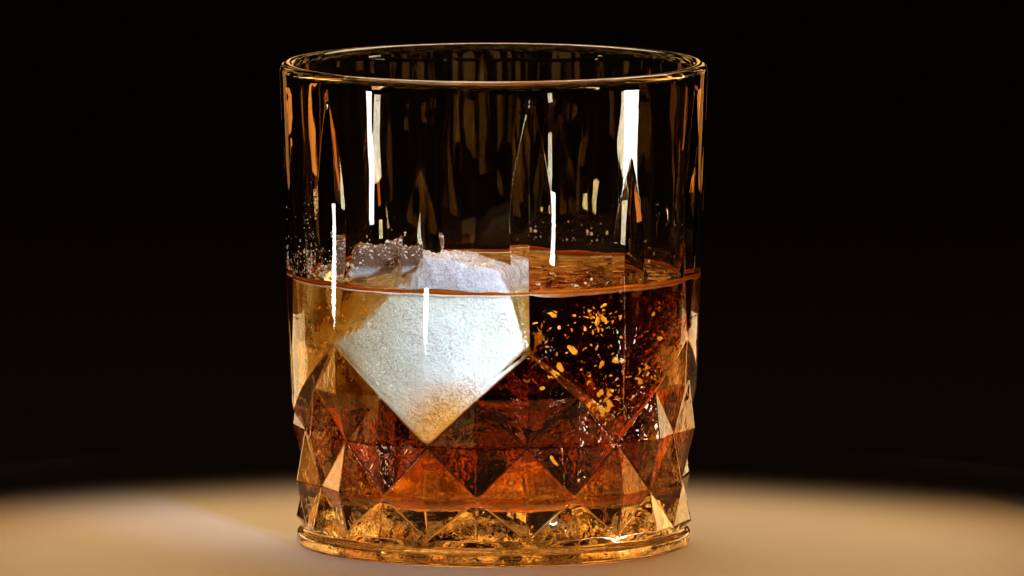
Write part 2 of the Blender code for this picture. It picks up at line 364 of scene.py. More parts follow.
def band(first, count, second, falls):
    """Triangles between two rings of the same count. falls says which way each face is cut."""
    a = first + np.arange(count)
    b = first + (np.arange(count) + 1) % count
    c = second + (np.arange(count) + 1) % count
    d = second + np.arange(count)
    one = np.where(falls[:, None], np.stack([a, d, c], 1), np.stack([a, d, b], 1))
    two = np.where(falls[:, None], np.stack([a, c, b], 1), np.stack([d, c, b], 1))
    return np.concatenate([one, two])


def halving_band(first, count, second, flip):
    """Triangles from a ring to one with half as many points. flip is set where the fine ring is
    the second."""
    fine = np.arange(0, count, 2)
    a, b, c = first + fine, first + fine + 1, first + (fine + 2) % count
    half = count // 2
    d = second + np.arange(half)
    e = second + (np.arange(half) + 1) % half
    faces = np.concatenate([np.stack([a, d, b], 1), np.stack([b, d, e], 1), np.stack([b, e, c], 1)])
    return faces[:, ::-1] if flip else faces


def ring_mesh(rings, falls=None):
    """Points and faces of rings joined in turn. A ring of one point closes an end. Rings that go
    outwards on top, down the side and inwards below face out. falls says for a ring's number how
    the faces below it are cut."""
    falls = falls or {}
    counts = [len(ring) for ring in rings]
    starts = np.cumsum([0, *counts[:-1]])
    faces = []
    for i, (first, second, count, following) in enumerate(zip(starts, starts[1:], counts, counts[1:])):
        around = np.arange(max(count, following))
        beside = (around + 1) % len(around)
        if count == 1:
            faces.append(np.stack([first + 0 * around, second + around, second + beside], 1))
        elif following == 1:
            faces.append(np.stack([first + around, second + 0 * around, first + beside], 1))
        elif count == following:
            faces.append(band(first, count, second, falls.get(i, np.zeros(count, bool))))
        elif count > following:
            faces.append(halving_band(first, count, second, False))
        else:
            faces.append(halving_band(second, following, first, True))
    return np.concatenate(rings), np.concatenate(faces)


def add_node(tree, kind, inputs=None, **settings):
    """One shader node. inputs gives each input, by name or number, a value, an output, or a node
    whose first output it takes. A setting is a property of the node, or else the value of the input
    of that name."""
    node = tree.nodes.new("ShaderNode" + kind)
    for key, value in settings.items():
        if hasattr(node, key):
            setattr(node, key, value)
        else:
            node.inputs[key.replace("_", " ")].default_value = value
    for key, value in (inputs or {}).items():
        if isinstance(value, bpy.types.Node):
            value = value.outputs[0]
        if isinstance(value, bpy.types.NodeSocket):
            tree.links.new(value, node.inputs[key])
        else:
            node.inputs[key].default_value = value
    return node


def new_material(name):
    """An empty node material and its tree."""
    made = bpy.data.materials.new(name)
    made.use_nodes = True
    made.node_tree.nodes.clear()
    return made, made.node_tree


def plain_material(name, colour, roughness, ior, clear):
    """A material of one colour, of which the share clear lets light through."""
    made, tree = new_material(name)
    shader = add_node(
        tree, "BsdfPrincipled", Base_Color=colour, Roughness=roughness, IOR=ior, Transmission_Weight=clear
    )
    add_node(tree, "OutputMaterial", {"Surface": shader})
    return made


def clear_body(tree, bump, surface, ior, inside, density, shadow):
    """Smooth clear matter that colours light by how far it goes inside. Shadow rays pass straight
    through, tinted, so that lamps reach what is within."""
    shader = add_node(
        tree,
        "BsdfPrincipled",
        {"Normal": bump},
        Base_Color=surface,
        Roughness=0.0,
        IOR=ior,
        Transmission_Weight=1.0,
    )
    path = add_node(tree, "LightPath").outputs["Is Shadow Ray"]
    passing = add_node(tree, "BsdfTransparent", Color=shadow)
    mixed = add_node(tree, "MixShader", {0: path, 1: shader, 2: passing})
    absorbing = add_node(tree, "VolumeAbsorption", Color=inside, Density=density)
    add_node(tree, "OutputMaterial", {"Surface": mixed, "Volume": absorbing})


def soda_lime_glass(painted_amber_tint, depth, density):
    """Soda lime glass, pressed and fire polished: clear with no haze, its faces very slightly wavy
    where the mould was colder, most in the net, so that highlights on it aren't ruled straight.
    Its surface tint and the gold it turns where it is thick, from an absorption inside it, are painted amber
    light that stands in for the drink's light carried through clear glass."""
    made, tree = new_material("soda lime glass, pressed and fire polished")
    place = add_node(tree, "TexCoord").outputs["Object"]
    stretch = add_node(tree, "Mapping", {"Vector": place}, Scale=(1, 1, 0.35))
    wave = add_node(tree, "TexNoise", {"Vector": stretch}, Scale=WAVE_SCALE, Detail=1.0, Roughness=0.4)
    height = add_node(tree, "SeparateXYZ", {0: place}).outputs[2]
    chill = add_node(tree, "TexNoise", {"Vector": place}, Scale=CHILL_SCALE, Detail=2.0, Roughness=0.5)
    low = add_node(tree, "MapRange", {"Value": height}, From_Min=0.046, From_Max=0.040, To_Max=1.7)
    both = add_node(tree, "Math", {0: chill, 1: low, 2: wave}, operation="MULTIPLY_ADD")
    bump = add_node(tree, "Bump", {"Height": both}, Strength=0.05, Distance=1.6 * MM)
    # The tint and the absorption paint amber light into the glass
    clear_body(tree, bump, painted_amber_tint, 1.52, depth, density, (0.86, 0.86, 0.85, 1))
    return made


def amber_whisky(colour, density):
    """Whisky: a clear liquid coloured by oak. It is pale gold where it is thin and deep amber
    across the whole glass, which only an absorption inside it gives."""
    made, tree = new_material("whisky, clear and coloured by oak")
    place = add_node(tree, "TexCoord").outputs["Object"]
    swirl = add_node(tree, "TexNoise", {"Vector": place}, Scale=SWIRL_SCALE, Detail=2.0)
    bump = add_node(tree, "Bump", {"Height": swirl}, Strength=0.25, Distance=1.0 * MM)
    clear_body(tree, bump, (1, 1, 1, 1), 1.36, colour, density, (0.97, 0.96, 0.94, 1))
    return made


def cloudy_ice(name, white, painted_drink_light, dry, clear_low, clear_high, frost):
    """Water ice from a tray: white where air froze into it, with a wet, pitted skin. Its white is light
    scattered below the skin. Grains a third of a millimetre across are clearer and are painted in the
    drink's colour, as is all of it near the blunt point: painted light that stands in for light that has
    come through the drink. Above the drink it is dry frost."""
    made, tree = new_material(name)
    place = add_node(tree, "TexCoord").outputs["Object"]
    grains = add_node(tree, "TexNoise", {"Vector": place}, Scale=GRAIN_SCALE, Detail=2.0)
    clouds = add_node(tree, "TexNoise", {"Vector": place}, Scale=CLOUD_SCALE, Detail=3.0)
    pits = add_node(tree, "TexVoronoi", {"Vector": place}, feature="SMOOTH_F1", Scale=PIT_SCALE)
    grain = add_node(tree, "MapRange", {"Value": grains}, From_Min=0.48, From_Max=0.60, **SMOOTH)
    cloud = add_node(tree, "MapRange", {"Value": clouds}, From_Min=0.35, From_Max=0.7)
    speck = add_node(tree, "Math", {0: grain, 1: cloud}, operation="MULTIPLY")
    clear = add_node(tree, "MapRange", {"Value": speck}, To_Min=clear_low, To_Max=clear_high)
    # Painted light: near the blunt point the ice is given the drink's colour, for light that has come
    # through the drink
    away = add_node(tree, "VectorMath", {0: place, 1: PAINTED_GLOW_MIDDLE}, operation="DISTANCE").outputs["Value"]
    near = add_node(tree, "MapRange", {"Value": away}, From_Min=PAINTED_GLOW_FAR, From_Max=PAINTED_GLOW_NEAR, **SMOOTH)
    # Share of painted drink light: in the clearer grains, and all of it near the blunt point
    stained = add_node(tree, "Math", {0: speck, 1: frost, 2: near}, operation="MULTIPLY_ADD", use_clamp=True)
    shade = add_node(tree, "Mix", {0: stained, 6: white, 7: painted_drink_light}, data_type="RGBA")
    height = add_node(tree, "SeparateXYZ", {0: place}).outputs[2]
    out = add_node(tree, "MapRange", {"Value": height}, From_Min=FROST_START, From_Max=FROST_FULL)
    skin = add_node(tree, "Mix", {0: out, 6: shade.outputs[2], 7: dry}, data_type="RGBA")
    rough = add_node(tree, "Math", {0: grains, 1: pits}, operation="ADD")
    bump = add_node(tree, "Bump", {"Height": rough}, Strength=0.8, Distance=0.22 * MM)
    shader = add_node(
        tree,
        "BsdfPrincipled",
        {"Normal": bump, "Base Color": skin.outputs[2], "Transmission Weight": clear},
        Roughness=0.12,
        IOR=1.31,
        Subsurface_Weight=0.45,
        Subsurface_Scale=0.002,
        Subsurface_Radius=(1.0, 1.0, 1.0),
    )
    add_node(tree, "OutputMaterial", {"Surface": shader})
    return made


def whisky_bead(drink):
    """The bead of whisky at the level: a painted highlight along its lower edge and amber above that, and
    amber all over on the right, where it stands before the drink and not the ice."""
    made, tree = new_material("bead of whisky, painted highlight along its lower edge")
    place = add_node(tree, "TexCoord").outputs["Object"]
    across, _, height = add_node(tree, "SeparateXYZ", {0: place}).outputs
    middle = drink.level + LINE_RISE
    low, high = middle - 0.40 * LINE_HALF, middle - 0.15 * LINE_HALF
    upper = add_node(tree, "MapRange", {"Value": height}, From_Min=low, From_Max=high)
    beside = add_node(
        tree, "MapRange", {"Value": across}, From_Min=0.002, From_Max=0.014, To_Max=0.85, **SMOOTH
    )
    share = add_node(tree, "Math", {0: upper, 1: beside}, operation="MAXIMUM")
    # The pale colour is a painted highlight: the light that the meniscus would catch along the bead's lower
    # edge
    light, amber = linear(LINE_PAINTED_HIGHLIGHT), linear(LINE_AMBER)
    colour = add_node(tree, "Mix", {0: share, 6: light, 7: amber}, data_type="RGBA").outputs[2]
    clear = add_node(tree, "MapRange", {"Value": share}, To_Max=0.35)
    looks = {"Base Color": colour, "Transmission Weight": clear}
    shader = add_node(tree, "BsdfPrincipled", looks, Roughness=0.12, IOR=1.36)
    add_node(tree, "OutputMaterial", {"Surface": shader})
    return made


def net_corner(column, row):
    """Corners of the net: cut in where two lines cross, and left at the wall's surface between them."""
    row = np.clip(row, 0, TOP_ROW)
    depth = np.where((column + row) % 2 == 0, NET_DEPTHS[row], 0.0)
    height = NET_ROWS[row]
    return at(wall_radius(height) - depth, NET_AZIMUTH + NET_PITCH * column, height)


def on_facet(across, up):
    """Points on the flat facets. Each cell of the net is two triangles that share the line between
    its two crossings, and a point is the weighted sum of the corners of its triangle."""
    column = np.floor(across + 1e-6).astype(int)
    row = np.clip(np.floor(up + 1e-6).astype(int), 0, TOP_ROW - 1)
    right, rise = (across - column)[..., None], (up - row)[..., None]
    near, beside = net_corner(column, row), net_corner(column + 1, row)
    above, far = net_corner(column, row + 1), net_corner(column + 1, row + 1)
    rises_right = ((column + row) % 2 == 0)[..., None]
    low_right = near * (1 - right) + beside * (right - rise) + far * rise
    high_left = near * (1 - rise) + above * (rise - right) + far * right
    low_left = near * (1 - right - rise) + beside * right + above * rise
    high_right = far * (right + rise - 1) + beside * (1 - rise) + above * (1 - right)
    rising = np.where(right >= rise, low_right, high_left)
    falling = np.where(right + rise <= 1, low_left, high_right)
    return np.where(rises_right, rising, falling)


def net_azimuths(heights, across):
    """Azimuth of each column at each height. In the net the columns are evenly spaced. Above it
    half of them gather on the lancet cuts, closest at their creases and edges."""
    side = (across + 1) % 2 - 1
    axis = across - side
    tall = np.round(axis / 2).astype(int) % 2 == 0
    half = lancet_half(heights[:, None], tall[None, :])
    half = np.maximum(half, NARROWEST)
    gather = ease((heights - NET_ROWS[-1]) / GATHER_FOOT) * ease((CUT_TOP - heights) / GATHER_TOP)
    half = blend(0.5, half, gather[:, None])
    share = np.abs(side)[None, :] * 2
    part = np.where(share < 1, share, share - 1)
    part = part - gather[:, None] * CROWDING * np.sin(2 * np.pi * part)
    place = np.where(share < 1, part * half, half + part * (1 - half))
    return NET_AZIMUTH + NET_PITCH * (axis[None, :] + np.sign(side)[None, :] * place)


def lancet_share(height, tall):
    """How far a lancet cut has opened at a height, half a sine wave from its foot to its tip."""
    foot = np.where(tall, TALL_SPAN[0], SHORT_SPAN[0])
    tip = np.where(tall, TALL_SPAN[1], SHORT_SPAN[1])
    return np.sin(np.pi * np.clip((height - foot) / (tip - foot), 0, 1))


def lancet_half(height, tall):
    """Half the width of a lancet cut, in cells of the net."""
    return np.degrees(LANCET_HALF_WIDTH * lancet_share(height, tall) / wall_radius(height)) / NET_PITCH


def lancet_cut(azimuth, height):
    """Depth of the lancet cuts: two flat flanks that meet in a crease. Below its foot a short one
    runs on as a thin groove down to the point of its window."""
    across = (azimuth - NET_AZIMUTH) / NET_PITCH
    number = np.round(across / 2)
    side = np.abs(across - 2 * number)
    tall = number.astype(int) % 2 == 0
    half = np.maximum(lancet_half(height, tall), 1e-6)
    depth = LANCET_DEPTH * lancet_share(height, tall) * np.clip(1 - side / half, 0, 1)
    reach = np.clip((height - NET_ROWS[WINDOW_ROW]) / TAIL_RISE, 0, 1) * (height < TAIL_TOP)
    groove = TAIL_DEPTH * reach * np.clip(1 - side / TAIL_HALF, 0, 1)
    return np.maximum(depth, np.where(tall, 0.0, groove))


def net_row(height):
    """Place of a height in the net, in rows from its lowest crossings to its top."""
    return np.interp(height, NET_ROWS, np.arange(TOP_ROW + 1))


def from_window(across):
    """Cells to the right of the middle of the nearest window, negative to its left."""
    return (across - WINDOW_COLUMN + WINDOW_SPACING / 2) % WINDOW_SPACING - WINDOW_SPACING / 2


def cut_wall(heights, across):
    """The outside of the wall: flat facets of the net below, plain wall with lancet cuts above and
    in the windows, whose edges slope down to the net's lines."""
    azimuth = net_azimuths(heights, across)
    height = np.broadcast_to(heights[:, None], azimuth.shape)
    up = net_row(height)
    across = (azimuth - NET_AZIMUTH) / NET_PITCH
    side = from_window(across)
    inside = (up - WINDOW_ROW) - np.abs(side)
    in_window = (inside > 1e-6) & (up > WINDOW_ROW)
    facets = on_facet(across, up)
    plain = wall_radius(height) - lancet_cut(azimuth, height)
    line_at = across - side + np.sign(side + 1e-9) * (up - WINDOW_ROW)
    line = on_facet(line_at, up)
    line_radius = np.hypot(line[..., 0], line[..., 1])
    width = np.maximum(FLANK_WIDTH * (TOP_ROW - up) / (TOP_ROW - WINDOW_ROW), 1e-6)
    flank = np.clip(1 - inside / width, 0, 1)
    window_radius = np.minimum(plain, blend(wall_radius(height), line_radius, flank))
    window = at(np.where(height > NET_ROWS[-1], plain, window_radius), azimuth, height)
    use_window = in_window | (height > NET_ROWS[-1])
    return np.where(use_window[..., None], window, facets)


def tumbler_rings():
    """The glass from the middle of its floor, up the inside, over the lip, down the cut wall and
    under the foot. Only the cut wall has the fine columns."""
    fine = np.arange(NET_CELLS * CELL_STEPS) / CELL_STEPS
    plain = np.arange(NET_CELLS * PLAIN_STEPS) / PLAIN_STEPS
    azimuth = NET_AZIMUTH + NET_PITCH * plain
    middle = (CAVITY_FOOT_RADIUS - CAVITY_CORNER, FLOOR_HEIGHT + CAVITY_CORNER)
    floor = [(radius, FLOOR_HEIGHT) for radius in np.linspace(0.004, middle[0], 7)[:-1]]
    heights = np.linspace(middle[1], GLASS_HEIGHT - LIP_RADIUS, 22)[1:-1]
    inside = [(cavity_radius(height), height) for height in heights]
    lip_middle = (RIM_RADIUS - LIP_RADIUS, GLASS_HEIGHT - LIP_RADIUS)
    lip = arc(lip_middle, LIP_RADIUS, 180, 0, 14)
    above = [*floor, *arc(middle, CAVITY_CORNER, -90, 0, 10), *inside, *lip]
    groove = [(GROOVE_RADIUS, GROOVE_HEIGHT), (GROOVE_RADIUS, FOOT_HEIGHT + 0.0002)]
    foot_top = arc((FOOT_RADIUS - FOOT_EDGE, FOOT_HEIGHT - FOOT_EDGE), FOOT_EDGE, 66, 0, 4)
    foot_low = arc((FOOT_RADIUS - FOOT_EDGE, FOOT_EDGE), FOOT_EDGE, 0, -90, 6)
    below = [*groove, *foot_top, *foot_low, (0.030, 0.0), (0.012, 0.0)]
    net = [np.linspace(low, high, CELL_STEPS + 1)[:-1] for low, high in zip(NET_ROWS, NET_ROWS[1:])]
    upper = np.linspace(NET_ROWS[-1], CUT_TOP, 31)
    heights = np.concatenate([*net, upper])[::-1]
    wall = cut_wall(heights, fine)
    rings = [np.array([[0, 0, FLOOR_HEIGHT]])]
    rings += [at(radius, azimuth, height) for radius, height in above]
    first = len(rings)
    rings += list(wall)
    rings += [at(radius, azimuth, height) for radius, height in below]
    rings.append(np.zeros((1, 3)))
    falls = {}
    middle_across = fine + 0.5 / CELL_STEPS
    side = from_window(middle_across)
    for i, (high, low) in enumerate(zip(heights, heights[1:])):
        up = net_row((high + low) / 2)
        in_window = (up > WINDOW_ROW) & (np.abs(side) < up - WINDOW_ROW)
        rises = np.where(in_window, side > 0, (np.floor(middle_across) + np.floor(up)) % 2 == 0)
        falls[first + i] = ~rises
    return rings, falls


def hex_colour(name, description, default):
    """A setting that holds a colour."""
    return bpy.props.StringProperty(name=name, description=description + ", as sRGB hex", default=default)


def length(name, description, default, **limits):
    """A setting in metres."""
    return bpy.props.FloatProperty(
        name=name, description=description, default=default, unit="LENGTH", subtype="DISTANCE", **limits
    )


def strength(description, default):
    """A setting with no unit, from nothing upwards."""
    return bpy.props.FloatProperty(name="Strength", description=description, default=default, min=0.0)


class TumblerSettings(bpy.types.PropertyGroup):
    # The tint and the gold of thick glass are painted amber light, for warm light carried through the clear
    # glass
    painted_amber_tint: hex_colour("Tint", "Colour of the glass's surface", "#FBF1DC")
    depth: hex_colour("Depth", "Colour that thick glass lets through", "#F5D878")
    strength: strength("How strongly each metre of the glass absorbs", 18.0)


class DrinkSettings(bpy.types.PropertyGroup):
    level: length("Level", "Height of the drink away from the wall", 0.0529, min=0.03, max=0.085)
    meniscus: length("Meniscus", "How far the drink climbs the glass and the ice", 0.0011)
    ripple: length("Ripple", "Height of the ripples on the drink's surface", 0.00042)
    overlap: length("Overlap", "How far it reaches into the glass, so no air shows", 0.00008)
    amber: hex_colour("Amber", "Colour that the drink lets through", "#F3D715")
    strength: strength("How strongly each metre of the drink absorbs", 104.0)
    # The flecks' colour is painted light: gold glints for the drink's light that the bubbles and chips would
    # bend
    flecks: hex_colour("Flecks", "Colour of the bubbles and chips", "#FFC65A")


class IceSettings(bpy.types.PropertyGroup):
    white: hex_colour("White", "Colour of the cloudy ice", "#E0ECFA")
    # Painted light: the drink's colour given to the ice's clearer grains and to the block's blunt point, for
    # light come through the drink
    painted_drink_light: hex_colour("Stain", "Colour of the ice where the drink stains it", "#DCA348")
    dry: hex_colour("Dry frost", "Colour of the block above the drink", "#C4C4CA")
    rind: hex_colour("Rind", "Colour of the frosted piece above the drink", "#9A8472")
    crumbs: hex_colour("Crumbs", "Colour of the crumbs of frost", "#FBF6F0")
    unevenness: length("Unevenness", "How far the melted sides wander", 0.0009)
    skin: length("Skin", "Height of the small waves of the melted surface", 0.00012)


class StageSettings(bpy.types.PropertyGroup):
    floor: hex_colour("Floor", "Colour of the floor", "#D4D1CB")
    # The floor darkens to this colour away from the glass: painted shade round the painted pool of light
    painted_shade_floor: hex_colour("Painted shade on the floor", "Colour that the floor fades to", "#1C1917")
    strength: strength("Strength of all the lamps", 1.0)
    distance: length("Distance", "From the camera to the glass", 2.8)
    elevation: bpy.props.FloatProperty(
        name="Elevation",
        description="How far the camera looks down",
        default=math.radians(6.3),
        unit="ROTATION",
        subtype="ANGLE",
    )


def ice_reach(directions, ice):
    """How far the ice reaches from its middle in each direction. The inverse is a power mean of
    the direction's share of each side, which rounds the edges. The hollow of the glass, less a
    film of drink, is one more side."""
    middle = np.array(ice["middle"])
    total = 0.0
    for point, normal in ice["sides"]:
        normal = np.array(normal) / np.linalg.norm(normal)
        share = np.maximum(directions @ normal, 0) / ((np.array(point) - middle) @ normal)
        total = total + share**SHARPNESS
    level = directions[..., :2]
    square = np.maximum((level**2).sum(-1), 1e-6)
    along = level @ middle[:2]
    reach = np.full(square.shape, FIRST_REACH)
    for _ in range(3):
        radius = cavity_radius(middle[2] + reach * directions[..., 2]) - WALL_FILM
        reach = (np.sqrt(along**2 + square * (radius**2 - middle[:2] @ middle[:2])) - along) / square
        reach = np.minimum(reach, FARTHEST_REACH)
    total = total + (1 / reach) ** SHARPNESS
    return total ** (-1 / SHARPNESS)


def ice_points(directions, ice, settings, push, skin):
    """Points on the ice: its reach along each direction, slow noise for the melted sides and, on
    the skin, quick noise for its small waves."""
    local = directions * ice_reach(directions, ice)[..., None]
    uneven = smooth_noise(local, MELT_GRAIN, ice["seed"]) * settings.unevenness - settings.unevenness
    crown = ease((local[..., 2] + ice["middle"][2] - CROWN_FOOT) / CROWN_RISE)
    coarse = settings.skin * ice["crust"] * (1 + CROWN_CRUST * crown)
    waves = layered_noise(local, WAVE_GRAIN, ice["seed"] + 50, layers=4) * coarse * skin
    return local + directions * (uneven * 0.5 + waves + push)[..., None] + np.array(ice["middle"])


def ice_rings(ice, settings, steps, push=0.0, skin=1.0):
    """Rings of the ice from its top to its bottom: directions on a sphere by azimuth and polar
    angle."""
    polar = np.linspace(0, np.pi, steps // 2 + 1)[1:-1]
    around = np.arange(steps) * 360 / steps
    directions = at(np.sin(polar)[:, None], around, np.cos(polar)[:, None])
    ends = np.array([[[0, 0, 1.0]], [[0, 0, -1.0]]])
    middle = ice_points(directions, ice, settings, push, skin)
    top, bottom = (ice_points(end, ice, settings, push, skin) for end in ends)
    return [top, *middle, bottom]


def beside_ice(points, ice, settings):
    """About how far points lie outside the ice, negative inside it."""
    local = points - np.array(ice["middle"])
    away = np.linalg.norm(local, axis=-1)
    directions = local / np.maximum(away, 1e-9)[..., None]
    surface = ice_points(directions, ice, settings, 0.0, 0.0) - np.array(ice["middle"])
    return away - np.linalg.norm(surface, axis=-1)


def drink_top(radius, azimuth, drink, ice_settings):
    """Height of the drink's surface: its level, long ripples, and a film that climbs the glass and
    the ice and falls off with the distance from them."""
    points = at(radius, azimuth, drink.level)
    edge = cavity_radius(drink.level)
    ripples = layered_noise(points * RIPPLE_STRETCH, RIPPLE_GRAIN, seed=21) * drink.ripple
    calm = ease((edge - radius) / CALM_WIDTH)
    climb = np.exp(-(edge - radius) / CLIMB_WIDTH)
    for ice in (LARGE_ICE, SMALL_ICE):
        away = np.maximum(beside_ice(points, ice, ice_settings), 0)
        climb = climb + ICE_CLIMB * np.exp(-away / CLIMB_WIDTH)
    return drink.level + ripples * calm + drink.meniscus * np.minimum(climb, MOST_CLIMB)


def drink_rings(drink, ice_settings):
    """The drink from the middle of its surface, out to the glass, down the wall and in below."""
    azimuth = NET_AZIMUTH + np.arange(DRINK_COLUMNS) * 360 / DRINK_COLUMNS
    edge = cavity_radius(drink.level) + drink.overlap
    shares = np.linspace(0, 1, 61)[1:]
    radii = edge * (1 - (1 - shares) ** RING_CROWDING)
    rings = [at(0.0, np.zeros(1), drink_top(0.0, np.zeros(1), drink, ice_settings))]
    rings += [at(radius, azimuth, drink_top(radius, azimuth, drink, ice_settings)) for radius in radii]
    middle = (CAVITY_FOOT_RADIUS - CAVITY_CORNER, FLOOR_HEIGHT + CAVITY_CORNER)
    lowest = float(rings[-1][:, 2].min()) - EDGE_DROP
    for height in np.linspace(lowest, middle[1], 14)[:-1]:
        rings.append(at(cavity_radius(height) + drink.overlap, azimuth, height))
    corner = arc(middle, CAVITY_CORNER + drink.overlap, 0, -90, 10)
    rings += [at(radius, azimuth, height) for radius, height in corner]
    bottom = FLOOR_HEIGHT - drink.overlap
    rings += [at(radius, azimuth, bottom) for radius in (0.018, 0.008)]
    rings.append(np.array([[0, 0, bottom]]))
    return rings


def cut_out(piece, cutters):
    """Takes the cutters' shapes out of a piece and removes them."""
    for cutter in cutters:
        cut = piece.modifiers.new(cutter.name, "BOOLEAN")
        cut.operation = "DIFFERENCE"
        cut.solver = "EXACT"
        cut.object = cutter
    bpy.context.view_layer.update()
    graph = bpy.context.evaluated_depsgraph_get()
    finished = bpy.data.meshes.new_from_object(piece.evaluated_get(graph))
    piece.modifiers.clear()
    piece.data = finished
    for cutter in cutters:
        bpy.data.objects.remove(cutter)


def show(piece, slot, *nodes):
    """Makes a piece ride on the glass and stand for its CAD nodes, which it hides. slot is not used."""
    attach(piece, "root")
    if nodes:
        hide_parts(*nodes)


class DRINK_OT_tumbler(bpy.types.Operator):
    """Builds the pressed glass with its diamond net and lancet cuts"""

    bl_idname = "drink.tumbler"
    bl_label = "Tumbler"

    def execute(self, context):
        settings = context.scene.tumbler_settings
        points, faces = ring_mesh(*tumbler_rings())
        material = soda_lime_glass(linear(settings.painted_amber_tint), linear(settings.depth), settings.strength)
        show(finish_piece("cut_tumbler", points, faces, material), "tumbler_glass", "tumbler")
        return {"FINISHED"}


class DRINK_OT_whisky(bpy.types.Operator):
    """Builds the drink with its meniscus, less the places of the ice"""

    bl_idname = "drink.whisky"
    bl_label = "Whisky"

    def execute(self, context):
        drink = context.scene.drink_settings
        ice = context.scene.ice_settings
        material = amber_whisky(linear(drink.amber), drink.strength)
        points, faces = ring_mesh(drink_rings(drink, ice))
        piece = finish_piece("whisky_pour", points, faces, material)
        cutters = []
        for number, form in enumerate((LARGE_ICE, SMALL_ICE)):
            push = -ICE_OVERLAP * form["crust"]
            points, faces = ring_mesh(ice_rings(form, ice, PLACE_STEPS, push, skin=0.0))
            cutters.append(finish_piece(f"ice_place_{number}", points, faces, material))
        cut_out(piece, cutters)
        show(piece, "whisky", "whisky")
        return {"FINISHED"}


class DRINK_OT_ice(bpy.types.Operator):
    """Builds the two pieces of cloudy ice"""

    bl_idname = "drink.ice"
    bl_label = "Ice"

    def execute(self, context):
        settings = context.scene.ice_settings
        wet = (linear(settings.white), linear(settings.painted_drink_light))
        dry, rind = linear(settings.dry), linear(settings.rind)
        melted = cloudy_ice(
            "tray ice, cloudy with a melted skin", *wet, dry, clear_low=0.02, clear_high=0.32, frost=0.24
        )
        frosted = cloudy_ice(
            "tray ice, frosted and pitted", *wet, rind, clear_low=0.20, clear_high=0.80, frost=0.7
        )
        for name, node, form, material in (
            ("ice_block", "ice_large", LARGE_ICE, melted),
            ("ice_lump", "ice_small", SMALL_ICE, frosted),
        ):
            points, faces = ring_mesh(ice_rings(form, settings, ICE_STEPS))
            show(finish_piece(name, points, faces, material), "ice", node)
        return {"FINISHED"}


def bead_mesh(centres, radii, flatness, uneven=0.0, around=7, along=4):
    """Points and faces of many small beads: each is a ball of rings between two poles, flattened
    across the wall by flatness and, if uneven, pulled out of shape by a random matrix of its own."""
    polar = np.linspace(0, np.pi, along + 1)[1:-1]
    turn = 90 + np.arange(around) * 360 / around
    rings = at(np.sin(polar)[:, None], turn, np.cos(polar)[:, None])
    one, faces = ring_mesh([np.array([[0, 0, 1.0]]), *rings, np.array([[0, 0, -1.0]])])
    out = centres * np.array([1, 1, 0])
    out = out / np.maximum(np.linalg.norm(out, axis=1), 1e-9)[:, None]
    pull = np.eye(3) + np.random.default_rng(5).normal(0, uneven, (len(centres), 3, 3))
    pull = pull * np.sign(np.linalg.det(pull))[:, None, None]
    points = one[None] @ pull * radii[:, None, None]
    inward = (points * out[:, None]).sum(-1, keepdims=True) * out[:, None]
    points = points - inward * (1 - flatness) + centres[:, None]
    count = len(one)
    faces = faces[None] + (np.arange(len(centres)) * count)[:, None, None]
    return points.reshape(-1, 3), faces.reshape(-1, 3)


def bead_sizes(draw, count, sizes):
    """Random radii in metres: most are small and a few large, as the drops of a splash are."""
    middle, spread, least, greatest = sizes
    return np.clip(draw.lognormal(middle, spread, count), least, greatest) * MM


def droplet_places(drink):
    """Where splashed droplets sit on the inside of the wall: a thick group at the left, a thin one
    at the back on the right, and a few all round. Each group has its azimuths, how far above the
    drink it starts, how quickly it thins out upwards and how many droplets it has."""
    draw = np.random.default_rng(11)
    azimuths, heights = [], []
    for low, high, start, spread, count in DROPLET_GROUPS:
        azimuths.append(draw.uniform(low, high, count))
        heights.append(drink.level + start + draw.exponential(spread, count))
    azimuth, height = np.concatenate(azimuths), np.concatenate(heights)
    radius = bead_sizes(draw, len(azimuth), DROPLET_SIZES)
    keep = height < DROPLET_TOP
    return at(cavity_radius(height), azimuth, height)[keep], radius[keep]


class DRINK_OT_droplets(bpy.types.Operator):
    """Scatters the droplets that a swirl left on the inside of the glass above the drink"""

    bl_idname = "drink.droplets"
    bl_label = "Droplets"

    def execute(self, context):
        drink = context.scene.drink_settings
        # Painted glints: the droplets are given a near white colour so that they show as bright specks
        wet = plain_material("droplets of whisky and melt water", (1.0, 0.97, 0.9, 1), 0.05, 1.34, 0.6)
        points, faces = bead_mesh(*droplet_places(drink), 0.7)
        show(finish_piece("wall_droplets", points, faces, wet), "whisky")
        return {"FINISHED"}


def closed_tube(rings):
    """Points and faces of rings joined in turn, the last one to the first."""
    count = len(rings[0])
    starts = np.arange(len(rings)) * count
    falls = np.zeros(count, bool)
    faces = [band(first, count, second, falls) for first, second in zip(starts, np.roll(starts, -1))]
    return np.concatenate(rings), np.concatenate(faces)


def line_rings(drink):
    """The bead of drink that clings to the glass at the level: an ellipse carried round the wall,
    whose size and height wander a little."""
    azimuth = np.arange(LINE_COLUMNS) * 360 / LINE_COLUMNS
    on_wall = at(cavity_radius(drink.level), azimuth, drink.level)
    swell = 1 + LINE_SWELL * layered_noise(on_wall, SWELL_GRAIN, seed=31)
    wander = smooth_noise(on_wall, WANDER_GRAIN, seed=37) * LINE_WANDER
    rings = []
    for turn in np.radians(np.arange(LINE_SIDES) * 360 / LINE_SIDES):
        radius = cavity_radius(drink.level) - LINE_DEPTH * swell + LINE_DEPTH * swell * np.cos(turn)
        height = drink.level + LINE_RISE + wander + LINE_HALF * swell * np.sin(turn)
        rings.append(at(radius + drink.overlap, azimuth, height))
    return rings


